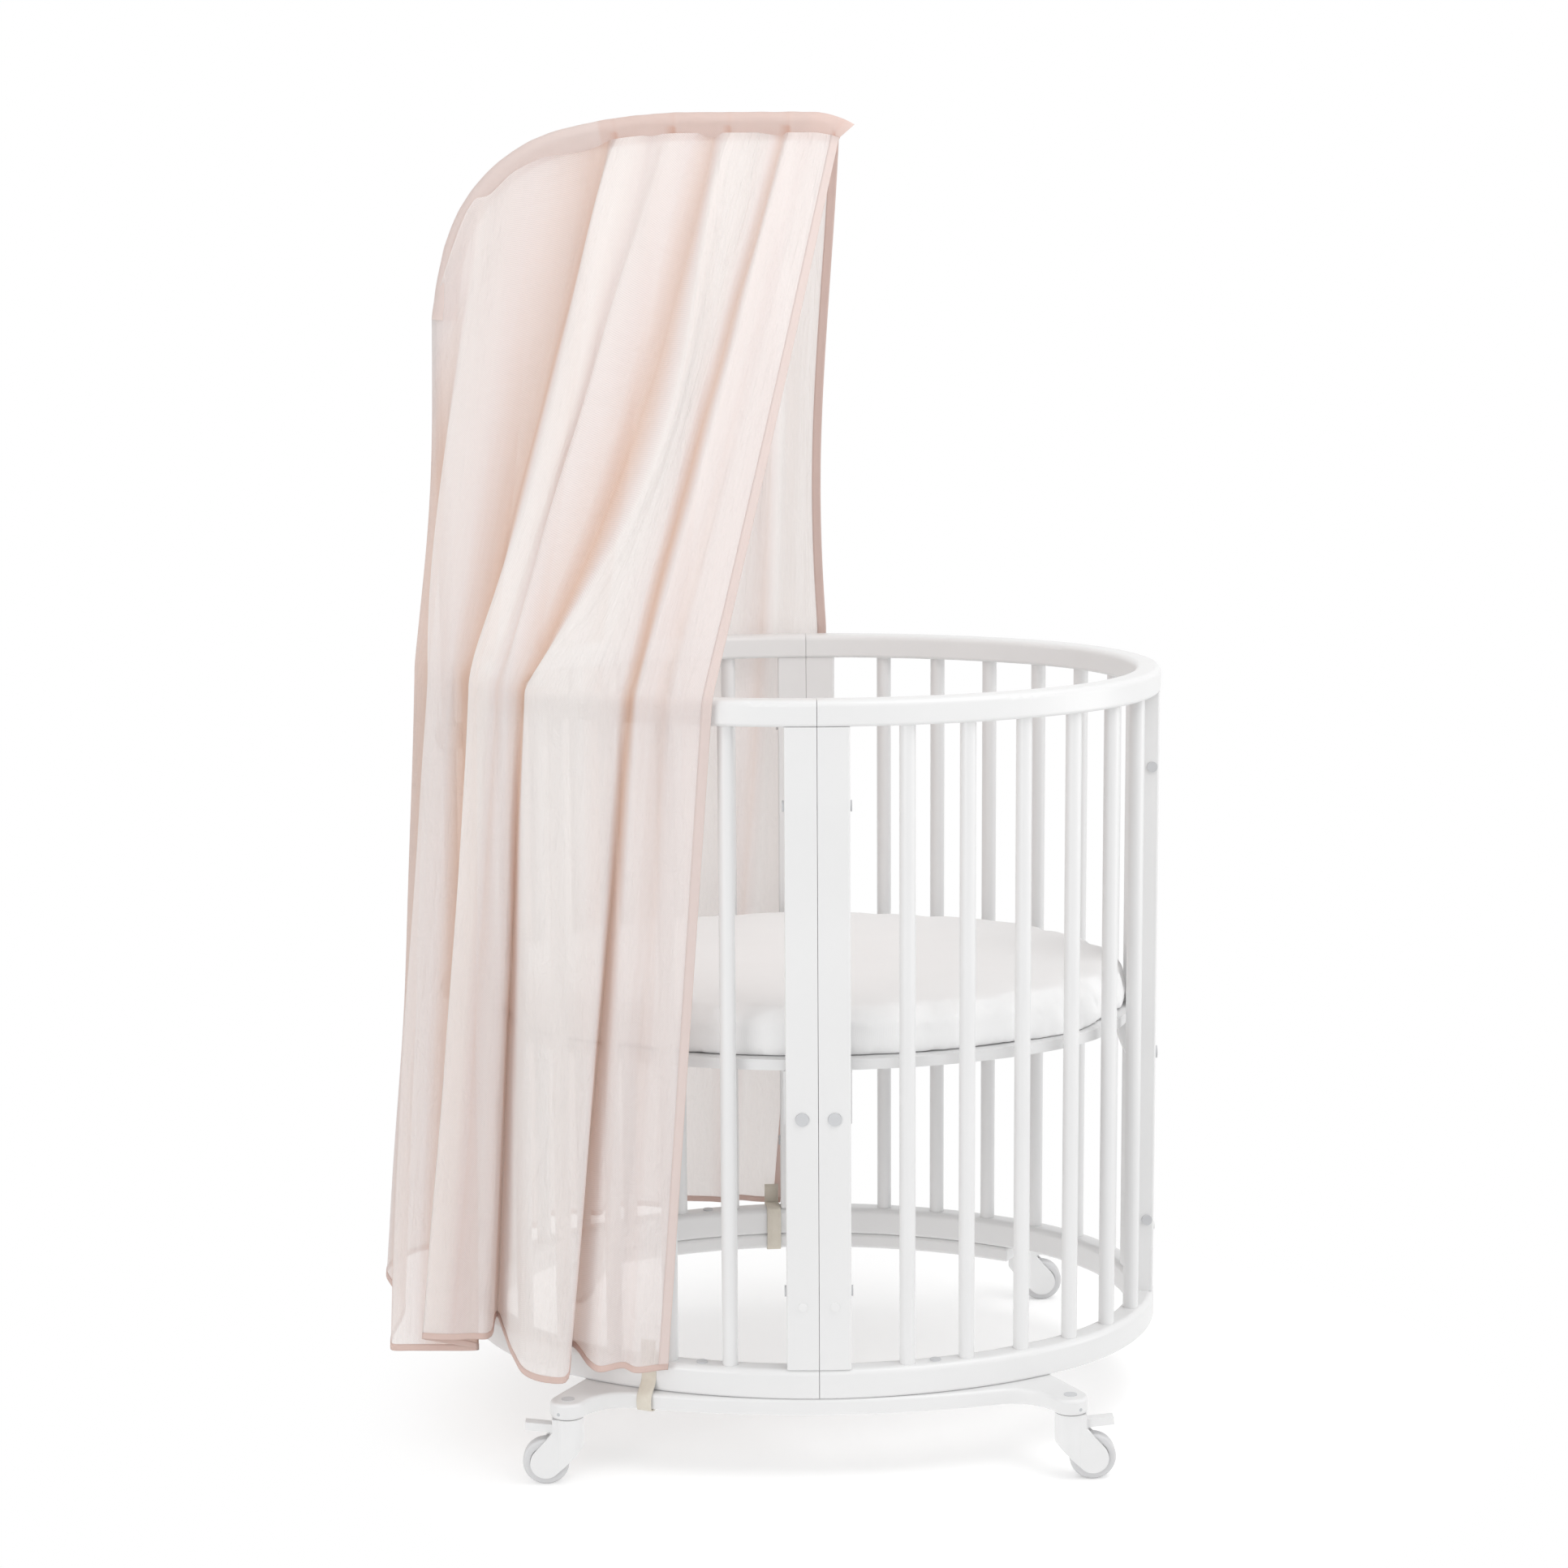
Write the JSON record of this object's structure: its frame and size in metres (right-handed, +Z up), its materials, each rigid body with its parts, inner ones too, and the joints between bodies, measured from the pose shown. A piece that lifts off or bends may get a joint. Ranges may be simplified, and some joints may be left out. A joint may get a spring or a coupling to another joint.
{
  "type": "baby crib",
  "caption": "Oval slatted baby crib on braked swivel casters, with a raised mattress and a sheer canopy draped over a bent rod.",
  "frame": {"origin": "on the floor under the centre of the oval", "axes": "+X along the oval away from the canopy rod, +Y towards the back side, +Z up"},
  "size_m": [0.9322, 0.7127, 1.5206],
  "materials": {
    "white_lacquer": "satin white lacquer on beech",
    "bare_beech": "bare turned beech",
    "white_board": "white melamine-faced board",
    "grey_bolt": "light grey painted steel",
    "steel": "zinc-plated steel",
    "white_plastic": "moulded white plastic",
    "grey_plastic": "moulded light grey plastic",
    "wheel_plastic": "soft white tread on a plastic hub",
    "mattress_cover": "white woven cotton cover",
    "white_tube": "white powder coat on steel tube",
    "canopy_cloth": "sheer pale pink cotton voile",
    "strap_tape": "beige cotton tape"
  },
  "bodies": {
    "crib": {"top_rail_front_left": "white_lacquer", "bottom_rail_front_left": "white_lacquer", "side_post_front_left": "white_lacquer", "end_post_front_left": "white_lacquer", "bars_front_left": "white_lacquer", "top_rail_front_right": "white_lacquer", "bottom_rail_front_right": "white_lacquer", "side_post_front_right": "white_lacquer", "end_post_front_right": "white_lacquer", "bars_front_right": "white_lacquer", "top_rail_back_left": "white_lacquer", "bottom_rail_back_left": "white_lacquer", "side_post_back_left": "white_lacquer", "end_post_back_left": "white_lacquer", "bars_back_left": "white_lacquer", "top_rail_back_right": "white_lacquer", "bottom_rail_back_right": "white_lacquer", "side_post_back_right": "white_lacquer", "end_post_back_right": "white_lacquer", "bars_back_right": "white_lacquer", "post_dowels": "bare_beech", "seam_sleeves": "grey_bolt", "seam_screws": "grey_bolt", "mattress_base": "white_board", "base_brackets": "white_plastic", "support_bolts": "grey_bolt", "hole_plugs": "white_plastic", "foot_bar_back": "white_lacquer", "foot_bar_front": "white_lacquer", "foot_bolts": "grey_bolt", "stem_plugs": "grey_plastic", "set_screws": "steel", "canopy_rod_lower": "white_tube", "canopy_rod_upper": "white_tube", "rod_clamps": "white_plastic", "clamp_screws": "steel", "canopy_sleeve": "canopy_cloth", "canopy_back_panel": "canopy_cloth", "canopy_front_panel": "canopy_cloth", "tie_strap_back": "strap_tape", "tie_strap_front": "strap_tape"},
    "caster_front_left": {"caster_housing_front_left": "white_plastic", "caster_pins_front_left": "steel"},
    "wheel_front_left": {"caster_wheel_front_left": "wheel_plastic"},
    "brake_front_left": {"brake_lever_front_left": "white_plastic"},
    "caster_front_right": {"caster_housing_front_right": "white_plastic", "caster_pins_front_right": "steel"},
    "wheel_front_right": {"caster_wheel_front_right": "wheel_plastic"},
    "brake_front_right": {"brake_lever_front_right": "white_plastic"},
    "caster_back_left": {"caster_housing_back_left": "white_plastic", "caster_pins_back_left": "steel"},
    "wheel_back_left": {"caster_wheel_back_left": "wheel_plastic"},
    "brake_back_left": {"brake_lever_back_left": "white_plastic"},
    "caster_back_right": {"caster_housing_back_right": "white_plastic", "caster_pins_back_right": "steel"},
    "wheel_back_right": {"caster_wheel_back_right": "wheel_plastic"},
    "brake_back_right": {"brake_lever_back_right": "white_plastic"},
    "mattress": {"mattress": "mattress_cover"}
  },
  "joints": [
    {"name": "swivel_front_left", "type": "hinge", "parent": "crib", "child": "caster_front_left", "pos_m": [-0.281, -0.325, 0.0765], "axis": [0, 0, 1], "continuous": true},
    {"name": "roll_front_left", "type": "hinge", "parent": "caster_front_left", "child": "wheel_front_left", "pos_m": [-0.306, -0.325, 0.026], "axis": [0, 1, 0], "continuous": true},
    {"name": "brake_press_front_left", "type": "hinge", "parent": "caster_front_left", "child": "brake_front_left", "pos_m": [-0.2965, -0.325, 0.058], "axis": [0, -1, 0], "range_deg": [0, 18]},
    {"name": "swivel_front_right", "type": "hinge", "parent": "crib", "child": "caster_front_right", "pos_m": [0.281, -0.325, 0.0765], "axis": [0, 0, 1], "continuous": true},
    {"name": "roll_front_right", "type": "hinge", "parent": "caster_front_right", "child": "wheel_front_right", "pos_m": [0.306, -0.325, 0.026], "axis": [0, 1, 0], "continuous": true},
    {"name": "brake_press_front_right", "type": "hinge", "parent": "caster_front_right", "child": "brake_front_right", "pos_m": [0.2965, -0.325, 0.058], "axis": [0, 1, 0], "range_deg": [0, 18]},
    {"name": "swivel_back_left", "type": "hinge", "parent": "crib", "child": "caster_back_left", "pos_m": [-0.281, 0.325, 0.0765], "axis": [0, 0, 1], "continuous": true},
    {"name": "roll_back_left", "type": "hinge", "parent": "caster_back_left", "child": "wheel_back_left", "pos_m": [-0.306, 0.325, 0.026], "axis": [0, 1, 0], "continuous": true},
    {"name": "brake_press_back_left", "type": "hinge", "parent": "caster_back_left", "child": "brake_back_left", "pos_m": [-0.2965, 0.325, 0.058], "axis": [0, -1, 0], "range_deg": [0, 18]},
    {"name": "swivel_back_right", "type": "hinge", "parent": "crib", "child": "caster_back_right", "pos_m": [0.281, 0.325, 0.0765], "axis": [0, 0, 1], "continuous": true},
    {"name": "roll_back_right", "type": "hinge", "parent": "caster_back_right", "child": "wheel_back_right", "pos_m": [0.306, 0.325, 0.026], "axis": [0, 1, 0], "continuous": true},
    {"name": "brake_press_back_right", "type": "hinge", "parent": "caster_back_right", "child": "brake_back_right", "pos_m": [0.2965, 0.325, 0.058], "axis": [0, 1, 0], "range_deg": [0, 18]},
    {"name": "mattress_lift", "type": "slide", "parent": "crib", "child": "mattress", "axis": [0, 0, 1], "range_m": [0, 0.41]}
  ]
}
